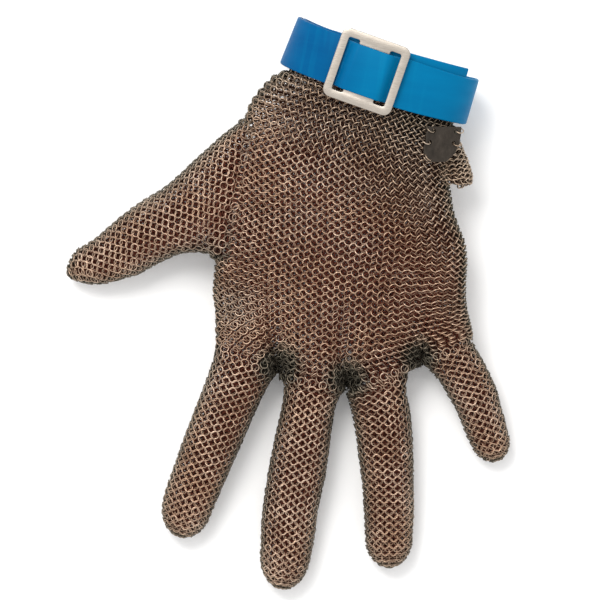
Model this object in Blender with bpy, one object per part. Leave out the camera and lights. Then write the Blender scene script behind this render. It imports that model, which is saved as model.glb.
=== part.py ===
# Chainmail glove: hollow mail hand and five stalls, a folded cuff flap,
# a wound wrist strap, a two-slot buckle and a small tag plate.
# Metres, +Z up.  The glove lies palm down with its fingers towards -Y and
# the wrist towards +Y.  The tables below are in millimetres.
import math
import bpy
import bmesh
from mathutils import Matrix, Vector

MM = 0.001
ORIGIN_X = 3.79          # middle of the glove's box, in the tables' frame
ORIGIN_Y = 0.55
ORIGIN_Z = 0.0

MAIL_WALL = 1.6          # thickness of the fabric of rings
SEAM_GAP = 0.4           # gap kept where two pieces of mail meet
COLLAR = 1.2             # straight start of each stall at its fork

STRAP_WIDTH = 20.0
STRAP_THICK = 1.5
STRAP_LAYER = 1.9        # centre of one wound layer to the next
STRAP_HALF_WIDE = 36.0   # inner layer's centre line
STRAP_HALF_HIGH = 20.3
STRAP_ROUND = 2.25       # exponent of the strap's oval
STRAP_SLOPE = math.radians(-9.1)   # the strap runs down to the right
STRAP_LEAN = math.radians(6.9)     # its upper side leans to the fingers
STRAP_CENTRE = (20.4, 97.8, 22.1)
STRAP_START = 27.0       # degrees round the oval, from the right side up
STRAP_END = 590.0
STRAP_TAPER = 0.0012     # share that the loop narrows per mm to the arm

BUCKLE_WIDE = 28.5
BUCKLE_TALL = 28.5
BUCKLE_BAR = 3.3
BUCKLE_SLOT = 4.6
BUCKLE_THICK = 1.2
BUCKLE_CORNER = 3.2
BUCKLE_AT = -5.3         # along the strap from the loop's middle
BUCKLE_ROLL = math.radians(4.2)

TAG_WIDE = 16.6
TAG_TALL = 14.4
TAG_THICK = 1.0
TAG_CENTRE = (49.2, 73.0, 36.9)
TAG_TURN = math.radians(9.5)
TAG_TILT = math.radians(24.0)

# One row is one cross-section.  ax, ay and bx, by are its two side points
# seen from above, zlo and zhi its lowest and highest points.
HAND_COLUMNS = ("ax", "ay", "bx", "by", "lead", "zlo", "zhi", "square",
                "groove", "spread", "rake")
HAND = [
    (-12.6, 105.5, 54.2, 94.9, 0.0, 3.6, 40.1, 2.25, 0.0, 6.0, 0.121),
    (-13.7, 99.1, 53.2, 88.5, 0.0, 3.5, 40.1, 2.25, 0.0, 6.0, 0.121),
    (-14.9, 93.9, 52.4, 83.2, 0.0, 3.3, 40.0, 2.25, 0.0, 6.0, 0.121),
    (-21.6, 89.6, 55.2, 78.4, 0.0, 1.6, 40.6, 2.35, 0.0, 6.0, 0.115),
    (-25.4, 83.4, 55.7, 74.0, 0.3, 0.8, 40.4, 2.5, 0.0, 6.0, 0.095),
    (-28.8, 76.6, 55.5, 69.4, 0.7, 0.3, 39.8, 2.7, 0.0, 6.0, 0.06),
    (-30.6, 69.4, 55.2, 64.2, 1.2, 0.0, 39.0, 2.8, 0.0, 6.0, 0.03),
    (-31.4, 62.0, 55.3, 58.0, 1.8, 0.0, 38.2, 2.9, 0.0, 6.0, 0.0),
    (-31.8, 53.5, 57.7, 50.8, 2.4, 0.0, 37.4, 3.0, 0.0, 6.0, 0.0),
    (-32.2, 45.0, 61.3, 43.6, 3.0, 0.0, 36.6, 3.0, 0.0, 6.0, 0.0),
    (-32.6, 36.5, 65.3, 36.2, 3.9, 0.0, 35.8, 3.0, 0.0, 6.0, 0.0),
    (-33.0, 28.2, 67.6, 29.4, 5.0, 0.0, 34.8, 3.0, 0.0, 6.0, 0.0),
    (-33.1, 20.4, 68.3, 22.8, 6.5, 0.0, 33.6, 3.1, 0.03, 6.0, 0.0),
    (-32.6, 12.8, 69.3, 16.6, 8.2, 0.0, 32.2, 3.2, 0.07, 5.8, 0.0),
    (-31.1, 4.6, 70.8, 10.8, 10.6, 0.1, 30.6, 3.5, 0.13, 5.4, 0.0),
    (-29.9, -3.8, 72.3, 6.4, 13.1, 0.2, 28.8, 3.9, 0.23, 4.8, 0.0),
    (-28.1, -11.6, 73.4, 3.3, 15.4, 0.4, 27.0, 4.4, 0.38, 4.1, 0.0),
    (-26.4, -17.8, 74.2, 1.1, 17.2, 0.5, 25.2, 4.8, 0.56, 3.4, 0.0),
    (-25.9, -22.2, 74.6, -0.3, 18.4, 0.6, 24.0, 5.0, 0.70, 2.9, 0.0),
]
THUMB_ROWS = (6, 13)     # rows of HAND between which the thumb hole opens
THUMB_SIDE = 2           # columns of the hole on each side of its middle

# Where the three finger forks divide the knuckle rim, as a share of its
# width, and how far each leads towards the fingertips, as a share of lead.
FORK_AT = (0.267, 0.546, 0.814)
FORK_LEAD = (0.62, 1.0, 0.46)

STALL_COLUMNS = ("ax", "ay", "bx", "by", "zlo", "zhi")
THUMB = [
    (-37.8, 62.3, -38.0, 13.5, 2.6, 33.4),
    (-45.0, 53.6, -41.5, 13.0, 1.6, 32.4),
    (-52.0, 43.9, -44.6, 12.1, 1.1, 30.8),
    (-58.8, 36.1, -47.6, 10.7, 0.9, 29.0),
    (-63.7, 31.9, -50.2, 9.0, 0.8, 27.4),
    (-68.1, 27.9, -53.2, 7.0, 0.8, 25.9),
    (-72.3, 23.6, -56.8, 4.3, 0.8, 24.6),
    (-76.3, 18.8, -61.1, 0.9, 0.7, 23.2),
    (-80.2, 14.0, -66.2, -2.1, 0.5, 21.4),
    (-84.2, 9.8, -71.8, -4.8, 0.3, 19.4),
]
INDEX = [
    (-25.9, -22.2, 0.75, -27.8, 0.6, 24.0),
    (-26.1, -26.0, -0.7, -31.2, 0.6, 23.4),
    (-26.8, -31.6, -2.4, -36.0, 0.5, 22.8),
    (-27.9, -37.5, -4.2, -41.8, 0.4, 22.2),
    (-30.2, -49.3, -7.0, -53.5, 0.3, 21.6),
    (-32.4, -61.1, -9.8, -65.2, 0.2, 21.0),
    (-34.4, -72.9, -12.7, -77.0, 0.1, 20.0),
    (-35.9, -83.2, -15.0, -86.9, 0.0, 18.8),
]
MIDDLE = [
    (1.05, -27.8, 28.85, -28.6, 0.6, 24.4),
    (2.6, -30.9, 28.0, -31.4, 0.6, 23.8),
    (4.0, -36.0, 26.5, -36.2, 0.5, 23.0),
    (4.1, -42.0, 26.3, -42.0, 0.4, 22.4),
    (3.6, -54.0, 26.8, -54.0, 0.3, 21.8),
    (3.4, -66.0, 27.1, -66.0, 0.2, 21.2),
    (3.6, -78.0, 26.6, -78.0, 0.1, 20.4),
    (4.3, -89.0, 27.0, -89.0, 0.0, 19.4),
    (5.6, -97.5, 26.9, -97.5, 0.0, 18.4),
]
RING = [
    (29.15, -28.6, 55.75, -12.9, 0.6, 23.8),
    (29.5, -31.2, 53.2, -18.6, 0.6, 23.2),
    (30.5, -34.0, 53.1, -25.6, 0.5, 22.6),
    (32.2, -38.0, 55.4, -31.8, 0.4, 22.0),
    (34.9, -45.2, 57.9, -40.2, 0.3, 21.4),
    (37.8, -54.6, 60.0, -49.9, 0.2, 20.8),
    (41.3, -65.6, 62.3, -61.2, 0.1, 20.0),
    (44.0, -76.6, 64.4, -72.6, 0.0, 19.0),
    (46.4, -87.0, 65.7, -83.2, 0.0, 17.8),
]
LITTLE = [
    (56.05, -12.9, 74.5, -0.4, 0.8, 23.0),
    (58.9, -15.7, 76.6, -3.2, 0.7, 22.2),
    (64.2, -19.8, 81.7, -9.0, 0.6, 21.2),
    (68.3, -24.3, 85.1, -13.9, 0.5, 20.2),
    (72.3, -28.9, 88.5, -18.9, 0.4, 19.2),
    (75.7, -33.9, 91.1, -24.4, 0.3, 18.2),
    (79.0, -39.2, 94.0, -30.2, 0.2, 17.2),
    (82.0, -43.4, 96.1, -35.3, 0.1, 16.2),
]
# Tips: name, rows, tip point x, y, z and roundness of its outline.
STALLS = [
    ("thumb_stall", THUMB, (-89.2, -4.0, 8.6), 1.62, 0),
    ("index_stall", INDEX, (-27.5, -99.7, 8.2), 2.15, 16),
    ("middle_stall", MIDDLE, (16.9, -113.3, 8.4), 2.1, 16),
    ("ring_stall", RING, (58.4, -97.3, 8.0), 2.05, 16),
    ("little_stall", LITTLE, (93.9, -47.6, 7.4), 2.0, 16),
]
STALL_SQUARE = 2.35
TIP_SHARES = (0.34, 0.60, 0.79, 0.92)

# Cuff flap: y, outer edge x, its z, then the inner ends' x and z.
FLAP_COLUMNS = ("y", "out_x", "out_z", "top_x", "top_z", "low_x", "low_z")
FLAP = [
    (74.6, 57.4, 24.5, 55.0, 28.5, 56.6, 19.5),
    (71.8, 59.2, 24.0, 54.8, 29.5, 56.6, 17.5),
    (68.6, 61.2, 23.0, 54.6, 30.0, 56.4, 15.5),
    (65.4, 62.8, 22.0, 54.4, 30.0, 56.2, 14.0),
    (62.2, 64.0, 21.0, 54.3, 29.5, 56.2, 13.0),
    (59.6, 63.6, 20.5, 54.8, 28.5, 56.6, 13.0),
    (57.4, 60.6, 20.0, 55.6, 26.5, 57.2, 14.5),
]


def rows_of(columns, table):
    return [dict(zip(columns, row)) for row in table]


def blend_rows(rows, s):
    """Row at position s, smoothly between its neighbours."""
    i = max(0, min(len(rows) - 2, int(math.floor(s))))
    f = s - i
    before, here = rows[max(0, i - 1)], rows[i]
    after, beyond = rows[i + 1], rows[min(len(rows) - 1, i + 2)]
    out = {}
    for key in here:
        m0 = (after[key] - before[key]) / 2 if i > 0 else after[key] - here[key]
        m1 = ((beyond[key] - here[key]) / 2 if i + 2 < len(rows)
              else after[key] - here[key])
        out[key] = ((2 * f**3 - 3 * f**2 + 1) * here[key]
                    + (f**3 - 2 * f**2 + f) * m0
                    + (-2 * f**3 + 3 * f**2) * after[key]
                    + (f**3 - f**2) * m1)
    return out


def arch(c, power):
    """Height of a rounded box at c, from -1 to 1 across it."""
    return max(0.0, 1.0 - abs(c) ** power) ** (1.0 / power)


def fork_line(t):
    """Lead of the knuckle rim at t: straight from fork to fork."""
    ts = (0.0,) + FORK_AT + (1.0,)
    vs = (0.0,) + FORK_LEAD + (0.0,)
    for i in range(4):
        if t <= ts[i + 1] or i == 3:
            f = (t - ts[i]) / (ts[i + 1] - ts[i])
            return vs[i] + f * (vs[i + 1] - vs[i])


def rounded_line(t):
    """The same lead as one round curve, away from the rim."""
    return math.sin(math.pi * min(1.0, max(0.0, t))) ** 1.25 * 0.97


def hand_shares(per_finger):
    """Shares across the hand, each fork on one of them, closer at the sides."""
    ts = (0.0,) + FORK_AT + (1.0,)
    out = []
    for i in range(4):
        for k in range(per_finger):
            f = k / per_finger
            if i == 0:
                g = 1 - math.cos(f * math.pi / 2)
            elif i == 3:
                g = math.sin(f * math.pi / 2)
            else:
                g = (1 - math.cos(f * math.pi)) / 2
            out.append(ts[i] + (ts[i + 1] - ts[i]) * g)
    return out + [1.0]


def hand_point(rows, s, t, upper):
    """Point of the hand's outer surface, in millimetres."""
    r = blend_rows(rows, s)
    rim = max(0.0, s - (len(rows) - 3)) / 2.0
    lead = r["lead"] * (rim * fork_line(t) + (1 - rim) * rounded_line(t))
    x = r["ax"] + (r["bx"] - r["ax"]) * t
    y = r["ay"] + (r["by"] - r["ay"]) * t - lead
    wide = r["bx"] - r["ax"]
    valley = sum(math.exp(-(((t - f) * wide) / r["spread"]) ** 2)
                 for f in FORK_AT)
    half = (r["zhi"] - r["zlo"]) / 2 * arch(2 * t - 1, r["square"])
    half *= 1 - r["groove"] * min(1.0, valley)
    mid = (r["zhi"] + r["zlo"]) / 2
    z = mid + (half if upper else -half)
    y -= r["rake"] * (z - mid)
    return Vector((x, y, z))


def oval_point(row, angle, power):
    """Point at an angle round a section, 0 at its b side, 90 degrees up."""
    c = math.copysign(abs(math.cos(angle)) ** (2 / power), math.cos(angle))
    h = math.copysign(abs(math.sin(angle)) ** (2 / power), math.sin(angle))
    f = (1 + c) / 2
    mid = (row["zhi"] + row["zlo"]) / 2
    return Vector((row["ax"] + (row["bx"] - row["ax"]) * f,
                   row["ay"] + (row["by"] - row["ay"]) * f,
                   mid + (row["zhi"] - row["zlo"]) / 2 * h))


def tip_point(row, tip, share, outline, angle):
    """Point of a rounded tip, share 0 at the last row and 1 at the tip."""
    p = oval_point(row, angle, STALL_SQUARE - 0.35 * share)
    mid = Vector(((row["ax"] + row["bx"]) / 2, (row["ay"] + row["by"]) / 2,
                  (row["zlo"] + row["zhi"]) / 2))
    shrink = (1 - share ** outline) ** (1 / outline)
    centre = mid.lerp(Vector(tip), share)
    flat = Vector((p.x - mid.x, p.y - mid.y, 0.0)) * shrink
    return centre + flat + Vector((0, 0, (p.z - mid.z) * shrink))


def to_world(p):
    return Vector(((p.x - ORIGIN_X) * MM, (p.y - ORIGIN_Y) * MM,
                   (p.z - ORIGIN_Z) * MM))


def make_material(name, colour, metallic, roughness):
    mat = bpy.data.materials.new(name)
    mat.use_nodes = True
    shader = mat.node_tree.nodes["Principled BSDF"]
    shader.inputs["Base Color"].default_value = (*colour, 1.0)
    shader.inputs["Metallic"].default_value = metallic
    shader.inputs["Roughness"].default_value = roughness
    return mat


def add_object(name, bm, mat, smooth=True):
    bmesh.ops.recalc_face_normals(bm, faces=bm.faces[:])
    mesh = bpy.data.meshes.new(name)
    bm.to_mesh(mesh)
    bm.free()
    mesh.materials.append(mat)
    if smooth:
        mesh.shade_smooth()
        mesh.set_sharp_from_angle(angle=math.radians(40))
    obj = bpy.data.objects.new(name, mesh)
    bpy.context.scene.collection.objects.link(obj)
    return obj


def thicken(obj, wall):
    mod = obj.modifiers.new("wall", "SOLIDIFY")
    mod.thickness = wall * MM
    mod.offset = -1.0
    mod.use_even_offset = True
    mod.use_rim = True
    return obj


def outward(bm, reference):
    """Turn an open sheet's faces away from the point reference."""
    bmesh.ops.recalc_face_normals(bm, faces=bm.faces[:])
    score = sum((f.calc_center_median() - reference).dot(f.normal)
                * f.calc_area() for f in bm.faces)
    if score < 0:
        bmesh.ops.reverse_faces(bm, faces=bm.faces[:])


def add_sheet(name, bm, mat, wall, reference):
    outward(bm, reference)
    mesh = bpy.data.meshes.new(name)
    bm.to_mesh(mesh)
    bm.free()
    mesh.materials.append(mat)
    mesh.shade_smooth()
    mesh.set_sharp_from_angle(angle=math.radians(60))
    obj = bpy.data.objects.new(name, mesh)
    bpy.context.scene.collection.objects.link(obj)
    return thicken(obj, wall)


def build_hand(mat):
    """Mail tube of the hand; returns the loop round the thumb hole."""
    rows = rows_of(HAND_COLUMNS, HAND)
    shares = hand_shares(5)
    over = list(reversed(shares))                 # right side to left, on top
    ring = [(t, True) for t in over[:-1]] + [(t, False) for t in shares[:-1]]
    bm = bmesh.new()
    grid = [[bm.verts.new(to_world(hand_point(rows, s, t, up)))
             for t, up in ring] for s in range(len(rows))]
    n = len(ring)
    left = n // 2
    first, last = THUMB_ROWS
    for s in range(len(rows) - 1):
        for k in range(n):
            if (first <= s < last
                    and left - THUMB_SIDE <= k < left + THUMB_SIDE):
                continue
            a, b = grid[s], grid[s + 1]
            bm.faces.new((a[k], a[(k + 1) % n], b[(k + 1) % n], b[k]))
    loop = []
    for s in range(first, last):
        loop.append(grid[s][left - THUMB_SIDE].co.copy())
    for k in range(left - THUMB_SIDE, left + THUMB_SIDE):
        loop.append(grid[last][k].co.copy())
    for s in range(last, first, -1):
        loop.append(grid[s][left + THUMB_SIDE].co.copy())
    for k in range(left + THUMB_SIDE, left - THUMB_SIDE, -1):
        loop.append(grid[first][k].co.copy())
    add_sheet("hand_mail", bm, mat, MAIL_WALL,
              to_world(Vector((20.0, 40.0, 18.0))))
    return loop


def skin(bm, loops, tip):
    """Join loops of points to a tube and close it at the tip."""
    rings = [[bm.verts.new(p) for p in loop] for loop in loops]
    n = len(rings[0])
    for a, b in zip(rings, rings[1:]):
        for k in range(n):
            bm.faces.new((a[k], a[(k + 1) % n], b[(k + 1) % n], b[k]))
    end = bm.verts.new(tip)
    for k in range(n):
        bm.faces.new((rings[-1][k], rings[-1][(k + 1) % n], end))


def build_stall(name, table, tip, outline, count, mat, hole=None):
    rows = rows_of(STALL_COLUMNS, table)
    if hole:
        # The thumb starts at the hand's hole and each point of the hole
        # keeps its own direction round the thumb.
        ys = [p.y for p in hole]
        zs = [p.z for p in hole]
        ym, zm = (max(ys) + min(ys)) / 2, (max(zs) + min(zs)) / 2
        yh, zh = (max(ys) - min(ys)) / 2, (max(zs) - min(zs)) / 2
        angles = [math.atan2((p.z - zm) / zh, -(p.y - ym) / yh) for p in hole]
        start = [p + Vector((-SEAM_GAP * MM, 0, 0)) for p in hole]
        loops = [start]
    else:
        angles = [2 * math.pi * k / count for k in range(count)]
        away = Vector((0, -SEAM_GAP, 0))
        base = rows[0]
        chord = Vector((base["bx"] - base["ax"], base["by"] - base["ay"], 0))
        ahead = Vector((chord.y, -chord.x, 0)).normalized() * COLLAR
        loops = [[to_world(oval_point(base, a, STALL_SQUARE) + away + step)
                  for a in angles] for step in (Vector(), ahead)]
        rows = rows[1:]
    for row in rows:
        loops.append([to_world(oval_point(row, a, STALL_SQUARE))
                      for a in angles])
    for share in TIP_SHARES:
        loops.append([to_world(tip_point(rows[-1], tip, share, outline, a))
                      for a in angles])
    bm = bmesh.new()
    skin(bm, loops, to_world(Vector(tip)))
    middle = rows[len(rows) // 2]
    inside = to_world(Vector(((middle["ax"] + middle["bx"]) / 2,
                              (middle["ay"] + middle["by"]) / 2,
                              (middle["zlo"] + middle["zhi"]) / 2)))
    add_sheet(name, bm, mat, MAIL_WALL, inside)


def build_flap(mat):
    """A fold of mail: a C-shaped sheet, open towards the hand."""
    bm = bmesh.new()
    grid = []
    for r in rows_of(FLAP_COLUMNS, FLAP):
        line = []
        for k in range(9):
            a = math.pi / 2 - math.pi * k / 8
            inner_x = (r["top_x"] + r["low_x"]) / 2 + (
                r["top_x"] - r["low_x"]) / 2 * math.sin(a)
            x = inner_x + (r["out_x"] - inner_x) * abs(math.cos(a)) ** 0.8
            z = (r["out_z"] + (r["top_z"] - r["out_z"]) * max(0, math.sin(a))
                 + (r["low_z"] - r["out_z"]) * max(0, -math.sin(a)))
            line.append(bm.verts.new(to_world(Vector((x, r["y"], z)))))
        grid.append(line)
    for a, b in zip(grid, grid[1:]):
        for k in range(len(a) - 1):
            bm.faces.new((a[k], a[k + 1], b[k + 1], b[k]))
    add_sheet("cuff_flap", bm, mat, MAIL_WALL,
              to_world(Vector((54.0, 65.0, 21.5))))


def strap_frame():
    """Axes along the strap, to the arm, and up out of the loop."""
    along = Vector((math.cos(STRAP_SLOPE), math.sin(STRAP_SLOPE), 0))
    arm = Vector((-math.sin(STRAP_SLOPE), math.cos(STRAP_SLOPE), 0))
    up = Vector((0, 0, 1))
    c, s = math.cos(STRAP_LEAN), math.sin(STRAP_LEAN)
    return along, arm * c + up * s, up * c - arm * s


def smooth_step(lo, hi, v):
    f = max(0.0, min(1.0, (v - lo) / (hi - lo)))
    return f * f * (3 - 2 * f)


def buckle_plane():
    """Height over the loop's middle of the buckle's mid plane."""
    under = strap_path(450.0)[1]
    return under + STRAP_THICK / 2 + 0.3 + BUCKLE_THICK / 2


def strap_path(deg):
    """Centre line round the loop: along, up, and shift to the arm."""
    layer = smooth_step(285, 372, deg)
    a = math.radians(deg)
    ca, sa = math.cos(a), math.sin(a)
    u = math.copysign(abs(ca) ** (2 / STRAP_ROUND), ca)
    w = math.copysign(abs(sa) ** (2 / STRAP_ROUND), sa)
    grow = STRAP_LAYER * layer
    u *= STRAP_HALF_WIDE + grow
    w *= STRAP_HALF_HIGH + grow
    shift = 3.5 * (1 - smooth_step(24, 165, deg))
    return u, w, shift


def weave(u, w):
    """Lift of the strap over the buckle's middle plate."""
    far = abs(u - BUCKLE_AT)
    middle = BUCKLE_WIDE / 2 - BUCKLE_BAR - BUCKLE_SLOT
    lift = BUCKLE_THICK + STRAP_THICK + 0.75
    rise = 1 - smooth_step(middle - 0.25, middle + BUCKLE_SLOT - 0.15, far)
    return lift * rise


def strap_points():
    pts = []
    deg = STRAP_START
    while deg < STRAP_END:
        u, w, shift = strap_path(deg)
        if 400 < deg < 500:
            near = abs(u - BUCKLE_AT) < BUCKLE_WIDE / 2 - 0.5
            plane = buckle_line(u)
            low = plane - BUCKLE_THICK / 2 - 0.3 - STRAP_THICK / 2
            w_under = min(w, low) if near else w
            w = w_under + weave(u, w) * (1 if near else 0)
            if near and weave(u, w) > 0:
                high = plane + BUCKLE_THICK / 2 + 0.32 + STRAP_THICK / 2
                rise = weave(u, w) / (BUCKLE_THICK + STRAP_THICK + 0.75)
                w = w_under * (1 - rise) + high * rise
        pts.append((u, w, shift))
        deg += 1.1 if 418 < deg < 482 else 5.5
    return pts


def buckle_line(u):
    """Height of the buckle's mid plane at u along the strap."""
    return (buckle_plane() - 0.15
            + math.tan(BUCKLE_ROLL) * (u - BUCKLE_AT))


def build_strap(mat):
    along, arm, up = strap_frame()
    centre = Vector(STRAP_CENTRE)
    pts = strap_points()
    bm = bmesh.new()
    rings = []
    for i, (u, w, shift) in enumerate(pts):
        p0, p1 = pts[max(0, i - 1)], pts[min(len(pts) - 1, i + 1)]
        tangent = Vector((p1[0] - p0[0], p1[1] - p0[1]))
        tangent.normalize()
        normal = Vector((-tangent.y, tangent.x))
        ring = []
        for side, face in ((1, 1), (1, -1), (-1, -1), (-1, 1)):
            v = shift + side * STRAP_WIDTH / 2
            uu = u + normal.x * face * STRAP_THICK / 2
            ww = w + normal.y * face * STRAP_THICK / 2
            uu *= 1 - STRAP_TAPER * (side * STRAP_WIDTH / 2)
            ring.append(bm.verts.new(to_world(
                centre + along * uu + arm * v + up * ww)))
        rings.append(ring)
    for a, b in zip(rings, rings[1:]):
        for k in range(4):
            bm.faces.new((a[k], a[(k + 1) % 4], b[(k + 1) % 4], b[k]))
    bm.faces.new(rings[0])
    bm.faces.new(tuple(reversed(rings[-1])))
    add_object("wrist_strap", bm, mat)


def rounded_outline(wide, tall, radius, steps):
    out = []
    for cx, cy, start in ((1, 1, 0), (-1, 1, 90), (-1, -1, 180), (1, -1, 270)):
        for k in range(steps + 1):
            a = math.radians(start + 90 * k / steps)
            out.append((cx * (wide / 2 - radius) + radius * math.cos(a),
                        cy * (tall / 2 - radius) + radius * math.sin(a)))
    return out


def plate(name, outlines, thick, place, mat, edge):
    """Flat plate with holes: the first outline is its rim."""
    bm = bmesh.new()
    edges = []
    for outline in outlines:
        vs = [bm.verts.new(Vector((x * MM, y * MM, -thick / 2 * MM)))
              for x, y in outline]
        edges += [bm.edges.new((vs[i], vs[(i + 1) % len(vs)]))
                  for i in range(len(vs))]
    bmesh.ops.triangle_fill(bm, use_beauty=True, edges=edges)
    faces = bm.faces[:]
    out = bmesh.ops.extrude_face_region(bm, geom=faces)
    moved = [g for g in out["geom"] if isinstance(g, bmesh.types.BMVert)]
    bmesh.ops.translate(bm, vec=(0, 0, thick * MM), verts=moved)
    bmesh.ops.transform(bm, matrix=place, verts=bm.verts[:])
    obj = add_object(name, bm, mat, smooth=True)
    return obj


def build_buckle(mat):
    along, arm, up = strap_frame()
    centre = (Vector(STRAP_CENTRE) + along * BUCKLE_AT
              + up * buckle_line(BUCKLE_AT))
    roll = Matrix.Rotation(-BUCKLE_ROLL, 3, arm)
    x_axis, z_axis = roll @ along, roll @ up
    place = Matrix((
        (x_axis.x, arm.x, z_axis.x, 0), (x_axis.y, arm.y, z_axis.y, 0),
        (x_axis.z, arm.z, z_axis.z, 0), (0, 0, 0, 1)))
    place.translation = to_world(centre)
    slot_mid = BUCKLE_WIDE / 2 - BUCKLE_BAR - BUCKLE_SLOT / 2
    slot_tall = BUCKLE_TALL - 2 * BUCKLE_BAR
    slot = rounded_outline(BUCKLE_SLOT, slot_tall, 0.8, 2)
    outlines = [rounded_outline(BUCKLE_WIDE, BUCKLE_TALL, BUCKLE_CORNER, 6),
                [(x - slot_mid, y) for x, y in slot],
                [(x + slot_mid, y) for x, y in slot]]
    plate("buckle", outlines, BUCKLE_THICK, place, mat, 0.3)


def build_tag(mat):
    turn = Matrix.Rotation(TAG_TURN, 4, "Z") @ Matrix.Rotation(TAG_TILT, 4, "Y")
    turn.translation = to_world(Vector(TAG_CENTRE))
    plate("tag_plate", [rounded_outline(TAG_WIDE, TAG_TALL, 1.2, 3)],
          TAG_THICK, turn, mat, 0.2)


def main():
    for obj in list(bpy.data.objects):
        bpy.data.objects.remove(obj, do_unlink=True)
    mail = make_material("mail_steel", (0.42, 0.37, 0.32), 1.0, 0.38)
    blue = make_material("strap_blue", (0.0, 0.17, 0.46), 0.0, 0.35)
    steel = make_material("buckle_steel", (0.72, 0.68, 0.63), 1.0, 0.32)
    dark = make_material("tag_steel", (0.20, 0.17, 0.14), 1.0, 0.45)
    hole = build_hand(mail)
    for name, table, tip, outline, count in STALLS:
        build_stall(name, table, tip, outline, count, mail,
                    hole if name == "thumb_stall" else None)
    build_flap(mail)
    build_strap(blue)
    build_buckle(steel)
    build_tag(dark)


main()
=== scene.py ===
import math

import bpy
import bmesh
import numpy as np
from mathutils import Matrix, Vector

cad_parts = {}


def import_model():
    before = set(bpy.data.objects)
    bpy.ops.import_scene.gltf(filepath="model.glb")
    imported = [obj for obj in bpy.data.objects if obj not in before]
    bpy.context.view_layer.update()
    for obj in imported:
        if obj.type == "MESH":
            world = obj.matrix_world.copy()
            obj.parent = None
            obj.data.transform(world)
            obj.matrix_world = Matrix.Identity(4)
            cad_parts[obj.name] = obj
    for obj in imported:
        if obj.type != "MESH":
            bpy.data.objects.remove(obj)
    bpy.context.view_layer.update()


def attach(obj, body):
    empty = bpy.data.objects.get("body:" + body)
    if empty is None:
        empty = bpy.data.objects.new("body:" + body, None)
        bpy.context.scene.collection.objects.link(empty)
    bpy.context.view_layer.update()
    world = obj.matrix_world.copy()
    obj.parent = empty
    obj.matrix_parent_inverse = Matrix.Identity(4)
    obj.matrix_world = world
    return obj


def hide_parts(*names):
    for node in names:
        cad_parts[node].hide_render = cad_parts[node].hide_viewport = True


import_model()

MM = 0.001

# ---------------------------------------------------------------- the model's
# own sizes, in millimetres, in the same frame as the solids' tables
ORIGIN = np.array([3.79, 0.55, 0.0])
SEAM_GAP = 0.4
COLLAR = 1.2
STRAP_WIDTH = 20.0
STRAP_THICK = 1.5
STRAP_LAYER = 1.9
STRAP_HALF_WIDE = 36.0
STRAP_HALF_HIGH = 20.3
STRAP_ROUND = 2.25
STRAP_SLOPE = math.radians(-9.1)
STRAP_LEAN = math.radians(6.9)
STRAP_CENTRE = (20.4, 97.8, 22.1)
STRAP_START = 27.0
STRAP_END = 590.0
STRAP_TAPER = 0.0012
BUCKLE_WIDE = 28.5
BUCKLE_TALL = 28.5
BUCKLE_BAR = 3.3
BUCKLE_SLOT = 4.6
BUCKLE_THICK = 1.2
BUCKLE_CORNER = 3.2
BUCKLE_AT = -5.3
BUCKLE_ROLL = math.radians(4.2)
TAG_WIDE = 16.6
TAG_TALL = 14.4
TAG_THICK = 1.0
TAG_CENTRE = (49.2, 73.0, 36.9)
TAG_TURN = math.radians(9.5)
TAG_TILT = math.radians(24.0)

# rings of the mail
WIRE = 0.5
RING = 1.6               # radius of the wire's centre line
ROW = 1.56               # one row of rings to the next
PITCH_TOP = 4.5          # one ring to the next along a row
UNDER = dict(zone="under", row=1.20, pitch=2.16, lean=(20.0, 34.0), lift=0.45,
             depth=1.25, wander=0.1, skew=22.0, side_wander=6.0, shake=0.05)
VALLEYS = [              # x, y, size and amount of painted shade in the valleys between the fingers and in other hollows; the first three also place the bunched mail
    (0.9, -25.5, 8.5, 1.4), (28.9, -26.0, 8.0, 1.4), (55.6, -12.5, 7.5, 1.3),
    (-36.5, 13.0, 8.0, 0.7), (-25.0, -5.0, 12.0, 0.42), (68.0, 12.0, 10.0, 0.35), (17.0, 96.0, 12.0, 0.5), (40.0, 86.0, 12.0, 0.6)]
HAND_SKEW = 18.0         # degrees that the back's rings lean to one side

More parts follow.
